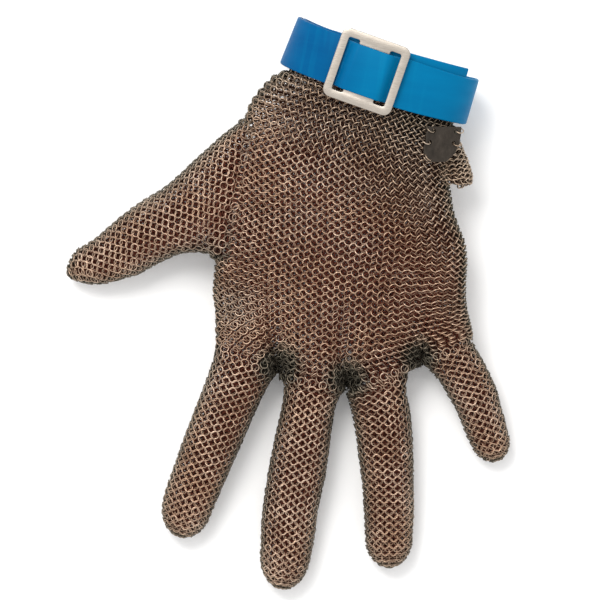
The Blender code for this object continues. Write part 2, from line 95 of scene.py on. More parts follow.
HAND_COLUMNS = ("ax", "ay", "bx", "by", "lead", "zlo", "zhi", "square",
                "groove", "spread", "rake")
HAND = [
    (-12.6, 105.5, 54.2, 94.9, 0.0, 3.6, 40.1, 2.25, 0.0, 6.0, 0.121),
    (-13.7, 99.1, 53.2, 88.5, 0.0, 3.5, 40.1, 2.25, 0.0, 6.0, 0.121),
    (-14.9, 93.9, 52.4, 83.2, 0.0, 3.3, 40.0, 2.25, 0.0, 6.0, 0.121),
    (-21.6, 89.6, 55.2, 78.4, 0.0, 1.6, 40.6, 2.35, 0.0, 6.0, 0.115),
    (-25.4, 83.4, 55.7, 74.0, 0.3, 0.8, 40.4, 2.5, 0.0, 6.0, 0.095),
    (-28.8, 76.6, 55.5, 69.4, 0.7, 0.3, 39.8, 2.7, 0.0, 6.0, 0.06),
    (-30.6, 69.4, 55.2, 64.2, 1.2, 0.0, 39.0, 2.8, 0.0, 6.0, 0.03),
    (-31.4, 62.0, 55.3, 58.0, 1.8, 0.0, 38.2, 2.9, 0.0, 6.0, 0.0),
    (-31.8, 53.5, 57.7, 50.8, 2.4, 0.0, 37.4, 3.0, 0.0, 6.0, 0.0),
    (-32.2, 45.0, 61.3, 43.6, 3.0, 0.0, 36.6, 3.0, 0.0, 6.0, 0.0),
    (-32.6, 36.5, 65.3, 36.2, 3.9, 0.0, 35.8, 3.0, 0.0, 6.0, 0.0),
    (-33.0, 28.2, 67.6, 29.4, 5.0, 0.0, 34.8, 3.0, 0.0, 6.0, 0.0),
    (-33.1, 20.4, 68.3, 22.8, 6.5, 0.0, 33.6, 3.1, 0.03, 6.0, 0.0),
    (-32.6, 12.8, 69.3, 16.6, 8.2, 0.0, 32.2, 3.2, 0.07, 5.8, 0.0),
    (-31.1, 4.6, 70.8, 10.8, 10.6, 0.1, 30.6, 3.5, 0.13, 5.4, 0.0),
    (-29.9, -3.8, 72.3, 6.4, 13.1, 0.2, 28.8, 3.9, 0.23, 4.8, 0.0),
    (-28.1, -11.6, 73.4, 3.3, 15.4, 0.4, 27.0, 4.4, 0.38, 4.1, 0.0),
    (-26.4, -17.8, 74.2, 1.1, 17.2, 0.5, 25.2, 4.8, 0.56, 3.4, 0.0),
    (-25.9, -22.2, 74.6, -0.3, 18.4, 0.6, 24.0, 5.0, 0.70, 2.9, 0.0),
]
THUMB_ROWS = (6, 13)
THUMB_SIDE = 2
FORK_AT = (0.267, 0.546, 0.814)
FORK_LEAD = (0.62, 1.0, 0.46)
STALL_COLUMNS = ("ax", "ay", "bx", "by", "zlo", "zhi")
THUMB = [
    (-37.8, 62.3, -38.0, 13.5, 2.6, 33.4),
    (-45.0, 53.6, -41.5, 13.0, 1.6, 32.4),
    (-52.0, 43.9, -44.6, 12.1, 1.1, 30.8),
    (-58.8, 36.1, -47.6, 10.7, 0.9, 29.0),
    (-63.7, 31.9, -50.2, 9.0, 0.8, 27.4),
    (-68.1, 27.9, -53.2, 7.0, 0.8, 25.9),
    (-72.3, 23.6, -56.8, 4.3, 0.8, 24.6),
    (-76.3, 18.8, -61.1, 0.9, 0.7, 23.2),
    (-80.2, 14.0, -66.2, -2.1, 0.5, 21.4),
    (-84.2, 9.8, -71.8, -4.8, 0.3, 19.4),
]
INDEX = [
    (-25.9, -22.2, 0.75, -27.8, 0.6, 24.0),
    (-26.1, -26.0, -0.7, -31.2, 0.6, 23.4),
    (-26.8, -31.6, -2.4, -36.0, 0.5, 22.8),
    (-27.9, -37.5, -4.2, -41.8, 0.4, 22.2),
    (-30.2, -49.3, -7.0, -53.5, 0.3, 21.6),
    (-32.4, -61.1, -9.8, -65.2, 0.2, 21.0),
    (-34.4, -72.9, -12.7, -77.0, 0.1, 20.0),
    (-35.9, -83.2, -15.0, -86.9, 0.0, 18.8),
]
MIDDLE = [
    (1.05, -27.8, 28.85, -28.6, 0.6, 24.4),
    (2.6, -30.9, 28.0, -31.4, 0.6, 23.8),
    (4.0, -36.0, 26.5, -36.2, 0.5, 23.0),
    (4.1, -42.0, 26.3, -42.0, 0.4, 22.4),
    (3.6, -54.0, 26.8, -54.0, 0.3, 21.8),
    (3.4, -66.0, 27.1, -66.0, 0.2, 21.2),
    (3.6, -78.0, 26.6, -78.0, 0.1, 20.4),
    (4.3, -89.0, 27.0, -89.0, 0.0, 19.4),
    (5.6, -97.5, 26.9, -97.5, 0.0, 18.4),
]
RINGFINGER = [
    (29.15, -28.6, 55.75, -12.9, 0.6, 23.8),
    (29.5, -31.2, 53.2, -18.6, 0.6, 23.2),
    (30.5, -34.0, 53.1, -25.6, 0.5, 22.6),
    (32.2, -38.0, 55.4, -31.8, 0.4, 22.0),
    (34.9, -45.2, 57.9, -40.2, 0.3, 21.4),
    (37.8, -54.6, 60.0, -49.9, 0.2, 20.8),
    (41.3, -65.6, 62.3, -61.2, 0.1, 20.0),
    (44.0, -76.6, 64.4, -72.6, 0.0, 19.0),
    (46.4, -87.0, 65.7, -83.2, 0.0, 17.8),
]
LITTLE = [
    (56.05, -12.9, 74.5, -0.4, 0.8, 23.0),
    (58.9, -15.7, 76.6, -3.2, 0.7, 22.2),
    (64.2, -19.8, 81.7, -9.0, 0.6, 21.2),
    (68.3, -24.3, 85.1, -13.9, 0.5, 20.2),
    (72.3, -28.9, 88.5, -18.9, 0.4, 19.2),
    (75.7, -33.9, 91.1, -24.4, 0.3, 18.2),
    (79.0, -39.2, 94.0, -30.2, 0.2, 17.2),
    (82.0, -43.4, 96.1, -35.3, 0.1, 16.2),
]
STALLS = [
    ("thumb_stall", THUMB, (-89.2, -4.0, 8.6), 1.62),
    ("index_stall", INDEX, (-27.5, -99.7, 8.2), 2.15),
    ("middle_stall", MIDDLE, (16.9, -113.3, 8.4), 2.1),
    ("ring_stall", RINGFINGER, (58.4, -97.3, 8.0), 2.05),
    ("little_stall", LITTLE, (93.9, -47.6, 7.4), 2.0),
]
STALL_SQUARE = 2.35
TIP_SHARES = (0.20, 0.34, 0.48, 0.60, 0.70, 0.79, 0.86, 0.92, 0.965, 0.992)
FLAP_COLUMNS = ("y", "out_x", "out_z", "top_x", "top_z", "low_x", "low_z")
FLAP = [
    (74.6, 57.4, 24.5, 55.0, 28.5, 56.6, 19.5),
    (71.8, 59.2, 24.0, 54.8, 29.5, 56.6, 17.5),
    (68.6, 61.2, 23.0, 54.6, 30.0, 56.4, 15.5),
    (65.4, 62.8, 22.0, 54.4, 30.0, 56.2, 14.0),
    (62.2, 64.0, 21.0, 54.3, 29.5, 56.2, 13.0),
    (59.6, 63.6, 20.5, 54.8, 28.5, 56.6, 13.0),
    (57.4, 60.6, 20.0, 55.6, 26.5, 57.2, 14.5),
]


# ---------------------------------------------------------------- camera
def make_camera():
    data = bpy.data.cameras.new("camera")
    data.sensor_width = 36.0
    data.lens = 372.75
    data.clip_start = 0.05
    data.clip_end = 20.0
    cam = bpy.data.objects.new("camera", data)
    cam.location = (0.00066, 0.00186, 2.5)
    cam.rotation_euler = (0.0, 0.0, math.radians(10.0))
    bpy.context.scene.collection.objects.link(cam)
    bpy.context.scene.camera = cam


make_camera()


# ---------------------------------------------------------------- shapes
def unit(v):
    return v / np.maximum(np.linalg.norm(v, axis=-1, keepdims=True), 1e-9)


def rows_of(columns, table):
    return [dict(zip(columns, row)) for row in table]


def blend_rows(rows, s):
    i = max(0, min(len(rows) - 2, int(math.floor(s))))
    f = s - i
    before, here = rows[max(0, i - 1)], rows[i]
    after, beyond = rows[i + 1], rows[min(len(rows) - 1, i + 2)]
    out = {}
    for key in here:
        m0 = (after[key] - before[key]) / 2 if i > 0 else after[key] - here[key]
        m1 = ((beyond[key] - here[key]) / 2 if i + 2 < len(rows)
              else after[key] - here[key])
        out[key] = ((2 * f**3 - 3 * f**2 + 1) * here[key]
                    + (f**3 - 2 * f**2 + f) * m0
                    + (-2 * f**3 + 3 * f**2) * after[key]
                    + (f**3 - f**2) * m1)
    return out


def fork_line(t):
    return np.interp(t, (0.0,) + FORK_AT + (1.0,), (0.0,) + FORK_LEAD + (0.0,))


def rounded_line(t):
    return np.sin(np.pi * np.clip(t, 0.0, 1.0)) ** 1.25 * 0.97


def even_profile(wide, high, power, count):
    """Evenly spaced points c, h over the top of a rounded box, right to left."""
    c = np.concatenate([np.linspace(1, -1, 301),
                        (1 - np.linspace(0, 0.999, 120) ** power) ** (1 / power),
                        -(1 - np.linspace(0, 0.999, 120) ** power) ** (1 / power)])
    c = np.unique(np.round(c, 9))[::-1]
    h = np.maximum(0.0, 1 - np.abs(c) ** power) ** (1 / power)
    step = np.hypot(np.diff(c) * wide / 2, np.diff(h) * high / 2)
    arc = np.concatenate([[0], np.cumsum(step)])
    at = np.linspace(0, arc[-1], count + 1)
    return np.interp(at, arc, c), np.interp(at, arc, h)


def hand_row(rows, s, count):
    """One closed cross-section of the hand, from the right side over the top."""
    r = blend_rows(rows, s)
    wide = r["bx"] - r["ax"]
    c, h = even_profile(wide, r["zhi"] - r["zlo"], r["square"], count // 2)
    c = np.concatenate([c[:-1], c[::-1][:-1]])
    up = np.concatenate([h[:-1], -h[::-1][:-1]])
    t = (1 + c) / 2
    rim = max(0.0, s - (len(rows) - 3)) / 2.0
    lead = r["lead"] * (rim * fork_line(t) + (1 - rim) * rounded_line(t))
    valley = sum(np.exp(-(((t - f) * wide) / r["spread"]) ** 2)
                 for f in FORK_AT)
    mid = (r["zhi"] + r["zlo"]) / 2
    z = mid + (r["zhi"] - r["zlo"]) / 2 * up * (
        1 - r["groove"] * np.minimum(1.0, valley))
    x = r["ax"] + wide * t
    y = r["ay"] + (r["by"] - r["ay"]) * t - lead - r["rake"] * (z - mid)
    return np.stack([x, y, z], axis=1)


def hand_shares(per_finger):
    ts = (0.0,) + FORK_AT + (1.0,)
    out = []
    for i in range(4):
        for k in range(per_finger):
            f = k / per_finger
            if i == 0:
                g = 1 - math.cos(f * math.pi / 2)
            elif i == 3:
                g = math.sin(f * math.pi / 2)
            else:
                g = (1 - math.cos(f * math.pi)) / 2
            out.append(ts[i] + (ts[i + 1] - ts[i]) * g)
    return out + [1.0]


def hand_point(rows, s, t, upper):
    r = blend_rows(rows, s)
    rim = max(0.0, s - (len(rows) - 3)) / 2.0
    lead = r["lead"] * (rim * float(fork_line(t))
                        + (1 - rim) * float(rounded_line(t)))
    wide = r["bx"] - r["ax"]
    valley = sum(math.exp(-(((t - f) * wide) / r["spread"]) ** 2)
                 for f in FORK_AT)
    half = (r["zhi"] - r["zlo"]) / 2 * max(
        0.0, 1 - abs(2 * t - 1) ** r["square"]) ** (1 / r["square"])
    half *= 1 - r["groove"] * min(1.0, valley)
    mid = (r["zhi"] + r["zlo"]) / 2
    z = mid + (half if upper else -half)
    y = r["ay"] + (r["by"] - r["ay"]) * t - lead - r["rake"] * (z - mid)
    return np.array([r["ax"] + wide * t, y, z])


def thumb_hole():
    """The loop round the thumb's hole in the side of the hand."""
    rows = rows_of(HAND_COLUMNS, HAND)
    shares = hand_shares(5)
    n = 2 * (len(shares) - 1)
    over = list(reversed(shares))
    ring = [(t, True) for t in over[:-1]] + [(t, False) for t in shares[:-1]]
    left = n // 2
    first, last = THUMB_ROWS
    order = [(s, left - THUMB_SIDE) for s in range(first, last)]
    order += [(last, k) for k in range(left - THUMB_SIDE, left + THUMB_SIDE)]
    order += [(s, left + THUMB_SIDE) for s in range(last, first, -1)]
    order += [(first, k) for k in range(left + THUMB_SIDE, left - THUMB_SIDE, -1)]
    return np.array([hand_point(rows, s, *ring[k]) for s, k in order])


def oval(row, angles, power):
    c = np.sign(np.cos(angles)) * np.abs(np.cos(angles)) ** (2 / power)
    h = np.sign(np.sin(angles)) * np.abs(np.sin(angles)) ** (2 / power)
    f = (1 + c) / 2
    return np.stack([row["ax"] + (row["bx"] - row["ax"]) * f,
                     row["ay"] + (row["by"] - row["ay"]) * f,
                     (row["zhi"] + row["zlo"]) / 2
                     + (row["zhi"] - row["zlo"]) / 2 * h], axis=1)


def tip_loop(row, tip, share, outline, angles):
    p = oval(row, angles, STALL_SQUARE - 0.35 * share)
    mid = np.array([(row["ax"] + row["bx"]) / 2, (row["ay"] + row["by"]) / 2,
                    (row["zlo"] + row["zhi"]) / 2])
    shrink = (1 - share ** outline) ** (1 / outline)
    return mid + (np.array(tip) - mid) * share + (p - mid) * shrink


def spline_loops(loops, count):
    """Smooth surface through closed loops of points, as a grid of points."""
    L = np.array(loops)
    gap = np.linalg.norm(np.diff(L, axis=0), axis=2).mean(axis=1)
    knot = np.concatenate([[0], np.cumsum(gap)])
    slope = np.zeros_like(L)
    d = np.diff(L, axis=0) / gap[:, None, None]
    slope[0], slope[-1] = d[0], d[-1]
    w = gap[1:] / (gap[1:] + gap[:-1])
    slope[1:-1] = d[:-1] * w[:, None, None] + d[1:] * (1 - w)[:, None, None]
    out = []
    for at in np.linspace(0, knot[-1], count):
        i = min(len(gap) - 1, int(np.searchsorted(knot, at, side="right")) - 1)
        h = gap[i]
        f = (at - knot[i]) / h
        out.append((2 * f**3 - 3 * f**2 + 1) * L[i]
                   + (f**3 - 2 * f**2 + f) * h * slope[i]
                   + (-2 * f**3 + 3 * f**2) * L[i + 1]
                   + (f**3 - f**2) * h * slope[i + 1])
    return np.array(out)


def stall_grid(name, table, tip, outline, columns=192, count=260):
    rows = rows_of(STALL_COLUMNS, table)
    angles = np.arange(columns) * 2 * math.pi / columns
    if name == "thumb_stall":
        hole = thumb_hole()
        ym = (hole[:, 1].max() + hole[:, 1].min()) / 2
        zm = (hole[:, 2].max() + hole[:, 2].min()) / 2
        yh = (hole[:, 1].max() - hole[:, 1].min()) / 2
        zh = (hole[:, 2].max() - hole[:, 2].min()) / 2
        at = np.arctan2((hole[:, 2] - zm) / zh, -(hole[:, 1] - ym) / yh)
        base = np.stack([np.interp(angles, at, hole[:, k], period=2 * math.pi)
                         for k in range(3)], axis=1)
        loops = [base - np.array([SEAM_GAP, 0, 0])]
    else:
        away = np.array([0, -SEAM_GAP, 0])
        r = rows[0]
        chord = unit(np.array([r["by"] - r["ay"], r["ax"] - r["bx"], 0.0]))
        base = oval(r, angles, STALL_SQUARE) + away
        loops = [base, base + chord * COLLAR]
        rows = rows[1:]
    loops += [oval(r, angles, STALL_SQUARE) for r in rows]
    loops += [tip_loop(rows[-1], tip, share, outline, angles)
              for share in TIP_SHARES]
    return spline_loops(loops, count)


def hand_grid(columns=288, count=340):
    rows = rows_of(HAND_COLUMNS, HAND)
    return np.array([hand_row(rows, s, columns)
                     for s in np.linspace(0, len(rows) - 1, count)])


def field(points, seed, size):
    """Smooth wandering value, about -1 to 1, over some millimetres."""
    rng = np.random.default_rng(seed)
    out = np.zeros(points.shape[:-1])
    for _ in range(7):
        k = unit(rng.normal(size=3)) * 2 * math.pi / size * rng.uniform(0.6, 1.6)
        out += np.sin(points @ k + rng.uniform(0, 2 * math.pi))
    return out / 2.6


def grid_normals(P, closed=True):
    ds = np.gradient(P, axis=0)
    if closed:
        dw = np.roll(P, -1, axis=1) - np.roll(P, 1, axis=1)
    else:
        dw = np.gradient(P, axis=1)
    n = unit(np.cross(dw, ds))
    middle = P.mean(axis=1, keepdims=True)
    if (n * (P - middle)).sum() < 0:
        n = -n
    return n


def mean_levels(P, part):
    """Mean distance along the piece of each grid row, over some columns."""
    step = np.linalg.norm(np.diff(P[:, part], axis=0), axis=2).mean(axis=1)
    run = np.concatenate([[0], np.cumsum(step)])
    return np.repeat(run[:, None], P.shape[1], axis=1)


class Rings:
    """Places, axes and outward directions of rings."""

    def __init__(self):
        self.at, self.axis, self.out, self.under = [], [], [], []

    def add(self, at, axis, out, under):
        self.at.append(at)
        self.axis.append(unit(axis))
        self.out.append(unit(out))
        self.under.append(under)

    def arrays(self):
        return (np.concatenate(self.at), np.concatenate(self.axis),
                np.concatenate(self.out), np.concatenate(self.under))


def lay_rows(rings, P, levels_of, anchor, seam, rng, row=ROW, pitch=PITCH_TOP,
             lean=(15.0, 30.0), lift=0.2, depth=0.85, closed=True, skip=None,
             wander=0.2, skew=0.0, side_wander=8.0, ease=0.5, zone="top",
             shake=0.03, lean_more=None, gather=None):
    """Rows of rings over a grid of points, each row half a ring on from the
    last, counted from one column of the grid.  zone is the half that is kept:
    top, under, or all."""
    N = grid_normals(P, closed)
    S, W, _ = P.shape
    lo, hi = levels_of.min(), levels_of.max()
    count = max(2, int(round((hi - lo) / row)))
    step = (hi - lo) / count
    columns = np.arange(W)
    reference = None
    for k in range(count):
        level = lo + (k + 0.5) * step
        sf = np.array([np.interp(level, levels_of[:, w], np.arange(S),
                                 left=np.nan, right=np.nan) for w in columns])
        good = ~np.isnan(sf)
        if good.sum() < 4:
            continue
        i = np.clip(np.nan_to_num(sf).astype(int), 0, S - 2)
        f = (np.nan_to_num(sf) - i)[:, None]
        line = P[i, columns] * (1 - f) + P[i + 1, columns] * f
        norm = unit(N[i, columns] * (1 - f) + N[i + 1, columns] * f)
        ahead = unit(P[i + 1, columns] - P[i, columns])
        space = (step * np.linalg.norm(P[i + 1, columns] - P[i, columns], axis=1)
                 / np.maximum(levels_of[i + 1, columns]
                              - levels_of[i, columns], 1e-6))
        if closed:
            run = np.roll(line, -1, axis=0) - np.roll(line, 1, axis=0)
        else:
            run = np.gradient(line, axis=0)
        space = space * np.linalg.norm(np.cross(ahead, unit(run)), axis=1)
        squeeze = np.clip(space / row, 0.35, 1.0)
        cut = closed and not good.all()
        scale = 1.0
        if closed and not cut:
            whole = np.linalg.norm(np.diff(line, axis=0), axis=1).sum()
            reference = max(reference or whole, whole)
            scale = (whole / reference) ** ease
        parity = k % 2
        for way in (1, -1):
            if closed:
                far = (seam - anchor) % W if way == 1 else (anchor - seam) % W
                if cut:
                    far = W - 1
                idx = (anchor + way * np.arange(far + 1)) % W
            else:
                idx = (np.arange(anchor, W) if way == 1
                       else np.arange(anchor, -1, -1))
            bad = np.where(~good[idx])[0]
            if len(bad):
                idx = idx[:bad[0]]
            if len(idx) < 2:
                continue
            pts, nrm, ahd = line[idx], norm[idx], ahead[idx]
            seg = np.linalg.norm(np.diff(pts, axis=0), axis=1)
            if gather is not None:
                seg = seg / gather((pts[1:] + pts[:-1]) / 2)
            share = np.concatenate([[0], np.cumsum(seg / (pitch * scale))])
            first = 0.5 if parity else (0.0 if way == 1 else 1.0)
            want = np.arange(first, share[-1] - 0.28, 1.0)
            if not len(want):
                continue

            def read(values):
                return np.stack([np.interp(want, share, values[:, c])
                                 for c in range(3)], 1)

            at, out, g = read(pts), unit(read(nrm)), unit(read(ahd))
            g = unit(g - out * (g * out).sum(1, keepdims=True))
            r = np.cross(out, g)
            if zone == "top":
                keep = out[:, 2] > -0.42
            elif zone == "under":
                keep = out[:, 2] < -0.22
            else:
                keep = np.ones(len(want), bool)
            if skip is not None:
                keep = keep & ~skip(at)
            if not keep.any():
                continue
            pressed = np.interp(want, share, squeeze[idx])
            at, out, g, r, pressed = (v[keep] for v in (at, out, g, r, pressed))
            flank = np.clip(1 - np.abs(out[:, 2]) / 0.75, 0, 1)
            sign = -1.0 if parity else 1.0
            tilt = math.radians(lean[parity]) * (
                1 + wander * field(at, 11 + parity, 26.0))
            if lean_more is not None:
                tilt = tilt + np.radians(lean_more(at))
            if zone == "top":
                tilt = tilt + 0.85 * np.arccos(pressed)
            tilt = tilt * (1 - 0.55 * flank)
            side = (math.radians(skew) + math.radians(side_wander)
                    * field(at, 5, 34.0)) * (1 - flank)
            if gather is not None:
                side = side + np.arccos(gather(at)) * 0.6 * (1 - flank)
            axis = (out * (np.cos(tilt) * np.cos(side))[:, None]
                    + g * (sign * np.sin(tilt))[:, None]
                    + r * np.sin(side)[:, None])
            axis = unit(axis) + rng.normal(0, shake, axis.shape)
            sink = depth - sign * lift * (1 - 0.6 * flank)
            at = at - out * sink[:, None] + rng.normal(0, 0.05, at.shape)
            rings.add(at, axis, out, np.full(
                len(at), 1.0 if zone == "under" else 0.0))


def ring_mesh(name, at, axis, out, rng, segments=12, sides=4, radius=RING,
              wire=WIRE, spread=0.02, floor=0.05, shade=None, tones=(0.0, 1.0),
              flank=1.0):
    """All these rings as one mesh, with each ring's tone, the share of each point
    that faces into the glove, which carries painted shade, and the painted shade of
    the glove's sides and valleys."""
    a = np.arange(segments) * 2 * math.pi / segments
    b = (np.arange(sides) + 0.5) * 2 * math.pi / sides
    A, B = np.meshgrid(a, b, indexing="ij")
    A, B = A.ravel(), B.ravel()
    base_n = np.stack([np.cos(B) * np.cos(A), np.cos(B) * np.sin(A), np.sin(B)], 1)
    base = np.stack([np.cos(A), np.sin(A), np.zeros_like(A)], 1) * radius
    base = base + base_n * wire / 2
    q = []
    for i in range(segments):
        for j in range(sides):
            i1, j1 = (i + 1) % segments, (j + 1) % sides
            q.append((i * sides + j, i1 * sides + j, i1 * sides + j1,
                      i * sides + j1))
    quads = np.array(q)
    n, m = len(at), len(base)
    e3 = unit(axis)
    helper = np.where(np.abs(e3[:, :1]) < 0.8, np.array([[1.0, 0, 0]]),
                      np.array([[0, 1.0, 0]]))
    e1 = unit(np.cross(e3, helper))
    e2 = np.cross(e3, e1)
    spin = rng.uniform(0, 2 * math.pi, n)[:, None]
    e1, e2 = (e1 * np.cos(spin) + e2 * np.sin(spin),
              e2 * np.cos(spin) - e1 * np.sin(spin))
    sx = 1 + rng.normal(0, spread, n)
    sy = 1 + rng.normal(0, spread, n)
    V = (at[:, None, :]
         + base[None, :, 0:1] * sx[:, None, None] * e1[:, None, :]
         + base[None, :, 1:2] * sy[:, None, None] * e2[:, None, :]
         + base[None, :, 2:3] * e3[:, None, :])
    NN = (base_n[None, :, 0:1] * e1[:, None, :]
          + base_n[None, :, 1:2] * e2[:, None, :]
          + base_n[None, :, 2:3] * e3[:, None, :])
    low = V[:, :, 2].min(axis=1)
    V[:, :, 2] += np.maximum(0.0, floor - low)[:, None]
    facing = (NN * out[:, None, :]).sum(2)
    height = ((V - at[:, None, :]) * out[:, None, :]).sum(2) / (radius + wire / 2)
    # painted shade: wire faces that look into the glove or lie low are marked to be
    # coloured deep red-brown, as if the inside were in shade
    inner_shade = np.clip(0.5 - 0.62 * facing - 0.38 * height, 0, 1)
    if shade is not None:
        inner_shade = np.clip(inner_shade + shade[:, None], 0, 1)
    # painted shade: the glove's sides, where the surface turns away from the top, and
    # the valleys are marked for darkening, scaled by flank
    side = np.clip(1.14 - np.abs(out[:, 2]), 0, 1) ** 1.6
    for x, y, size, amount in VALLEYS:
        gap = np.hypot(at[:, 0] - x, at[:, 1] - y)
        side = np.maximum(side, amount * np.exp(-(gap / size) ** 2))
    side = np.repeat(side * flank, m)
    tone = np.repeat(rng.uniform(*tones, n), m)
    co = ((V.reshape(-1, 3) - ORIGIN) * MM).astype(np.float32)
    faces = (quads[None] + (np.arange(n) * m)[:, None, None]).reshape(-1, 4)
    mesh = bpy.data.meshes.new(name)
    mesh.vertices.add(len(co))
    mesh.vertices.foreach_set("co", co.ravel())
    mesh.loops.add(faces.size)
    mesh.loops.foreach_set("vertex_index", faces.ravel().astype(np.int32))
    mesh.polygons.add(len(faces))
    mesh.polygons.foreach_set("loop_start",
                              np.arange(0, faces.size, 4, dtype=np.int32))
    mesh.polygons.foreach_set("use_smooth", np.ones(len(faces), bool))
    mesh.update(calc_edges=True)
    for label, values in (("ring_tone", tone), ("ring_inner_painted_shade", inner_shade.ravel()),
                          ("ring_side_painted_shade", side)):
        layer = mesh.attributes.new(label, "FLOAT", "POINT")
        layer.data.foreach_set("value", values.astype(np.float32))
    obj = bpy.data.objects.new(name, mesh)
    bpy.context.scene.collection.objects.link(obj)
    return obj


# ---------------------------------------------------------------- materials
def new_material(name):
    mat = bpy.data.materials.new(name)
    mat.use_nodes = True
    tree = mat.node_tree
    return mat, tree, tree.nodes, tree.nodes["Principled BSDF"]


def node(tree, kind, **settings):
    n = tree.nodes.new(kind)
    for key, value in settings.items():
        setattr(n, key, value)
    return n


def ramp(tree, source, stops):
    r = node(tree, "ShaderNodeValToRGB")
    while len(r.color_ramp.elements) < len(stops):
        r.color_ramp.elements.new(0.5)
    for e, (at, colour) in zip(r.color_ramp.elements, stops):
        e.position = at
        e.color = (*colour, 1.0) if len(colour) == 3 else colour
    tree.links.new(source, r.inputs[0])
    return r.outputs[0]


def noise(tree, scale, detail=3.0, rough=0.55, stretch=None, turn=None):
    coord = node(tree, "ShaderNodeTexCoord")
    source = coord.outputs["Object"]
    if stretch or turn:
        mapping = node(tree, "ShaderNodeMapping")
        if stretch:
            mapping.inputs["Scale"].default_value = stretch
        if turn:
            mapping.inputs["Rotation"].default_value = turn
        tree.links.new(source, mapping.inputs["Vector"])
        source = mapping.outputs[0]
    n = node(tree, "ShaderNodeTexNoise")
    n.inputs["Scale"].default_value = scale
    n.inputs["Detail"].default_value = detail
    n.inputs["Roughness"].default_value = rough
    tree.links.new(source, n.inputs["Vector"])
    return n.outputs["Fac"]


def mix(tree, factor, a, b, blend="MIX"):
    m = node(tree, "ShaderNodeMix", data_type="RGBA", blend_type=blend)
    for socket, value in ((m.inputs[0], factor), (m.inputs[6], a), (m.inputs[7], b)):
        if isinstance(value, bpy.types.NodeSocket):
            tree.links.new(value, socket)
        elif isinstance(value, (tuple, list)):
            socket.default_value = (*value, 1.0)
        else:
            socket.default_value = value
    return m.outputs[2]


def remap(tree, source, lo, hi, to_lo, to_hi):
    m = node(tree, "ShaderNodeMapRange")
    tree.links.new(source, m.inputs[0])
    for i, v in enumerate((lo, hi, to_lo, to_hi)):
        m.inputs[i + 1].default_value = v
    return m.outputs[0]


def bump(tree, source, strength, distance, shader):
    b = node(tree, "ShaderNodeBump")
    b.inputs["Strength"].default_value = strength
    b.inputs["Distance"].default_value = distance
    tree.links.new(source, b.inputs["Height"])
    tree.links.new(b.outputs[0], shader.inputs["Normal"])


def mail_material():
    mat, tree, nodes, shader = new_material("mail_steel_worn")
    tone = node(tree, "ShaderNodeAttribute", attribute_name="ring_tone")
    inner_shade = node(tree, "ShaderNodeAttribute", attribute_name="ring_inner_painted_shade")
    flank = node(tree, "ShaderNodeAttribute", attribute_name="ring_side_painted_shade")
    steel = ramp(tree, tone.outputs["Fac"], [
        (0.0, (0.40, 0.275, 0.198)), (0.35, (0.50, 0.355, 0.260)),
        (0.7, (0.590, 0.430, 0.318)), (1.0, (0.74, 0.56, 0.43))])
    cloud = noise(tree, 45.0, 3.0)
    stain = ramp(tree, cloud, [(0.36, (0.86, 0.79, 0.72)), (0.62, (1, 1, 1))])
    wear_and_painted_shade = mix(tree, 1.0, steel, stain, "MULTIPLY")
    speck = noise(tree, 900.0, 2.0)
    wear_and_painted_shade = mix(tree, remap(tree, speck, 0.5, 0.72, 0.0, 0.35), wear_and_painted_shade,
               (0.20, 0.13, 0.09))
    # painted shade: the mail goes grey, then near black, on the glove's sides and in
    # the valleys; the stains and specks above are real wear
    wear_and_painted_shade = mix(tree, remap(tree, flank.outputs["Fac"], 0.10, 0.90, 0.0, 0.90),
               wear_and_painted_shade, (0.165, 0.155, 0.120))
    wear_and_painted_shade = mix(tree, remap(tree, flank.outputs["Fac"], 0.75, 1.40, 0.0, 0.85),
               wear_and_painted_shade, (0.030, 0.028, 0.022))
    # painted shade: towards the cuff the mail is darker and cooler, and its inside
    # near black
    coord = node(tree, "ShaderNodeTexCoord")
    split = node(tree, "ShaderNodeSeparateXYZ")
    tree.links.new(coord.outputs["Object"], split.inputs[0])
    across = node(tree, "ShaderNodeMath", operation="MULTIPLY_ADD")
    across.inputs[1].default_value = 0.45
    tree.links.new(split.outputs[0], across.inputs[0])
    tree.links.new(split.outputs[1], across.inputs[2])
    cuff = remap(tree, across.outputs[0], 0.045, 0.095, 0.0, 1.0)
    wear_and_painted_shade = mix(tree, cuff, wear_and_painted_shade, mix(tree, 1.0, wear_and_painted_shade, (0.80, 0.86, 0.87),
                                     "MULTIPLY"))
    # painted shade: faces that look into the glove turn deep red-brown, near black at
    # the cuff and on the sides, and lose their metal
    depth = ramp(tree, inner_shade.outputs["Fac"], [
        (0.22, (0, 0, 0)), (0.60, (1, 1, 1))])
    inside_painted_shade = mix(tree, remap(tree, flank.outputs["Fac"], 0.15, 0.75, 0.0, 1.0),
               mix(tree, cuff, (0.165, 0.048, 0.030), (0.018, 0.010, 0.007)),
               (0.026, 0.023, 0.018))
    colour = mix(tree, depth, wear_and_painted_shade, inside_painted_shade)
    tree.links.new(colour, shader.inputs["Base Color"])
    tree.links.new(remap(tree, inner_shade.outputs["Fac"], 0.30, 0.62, 0.92, 0.0),
                   shader.inputs["Metallic"])
    shader.inputs["Specular IOR Level"].default_value = 0.06
    tree.links.new(remap(tree, speck, 0.3, 0.7, 0.34, 0.52),
                   shader.inputs["Roughness"])
    bump(tree, noise(tree, 2200.0, 2.0), 0.25, 0.00005, shader)
    return mat


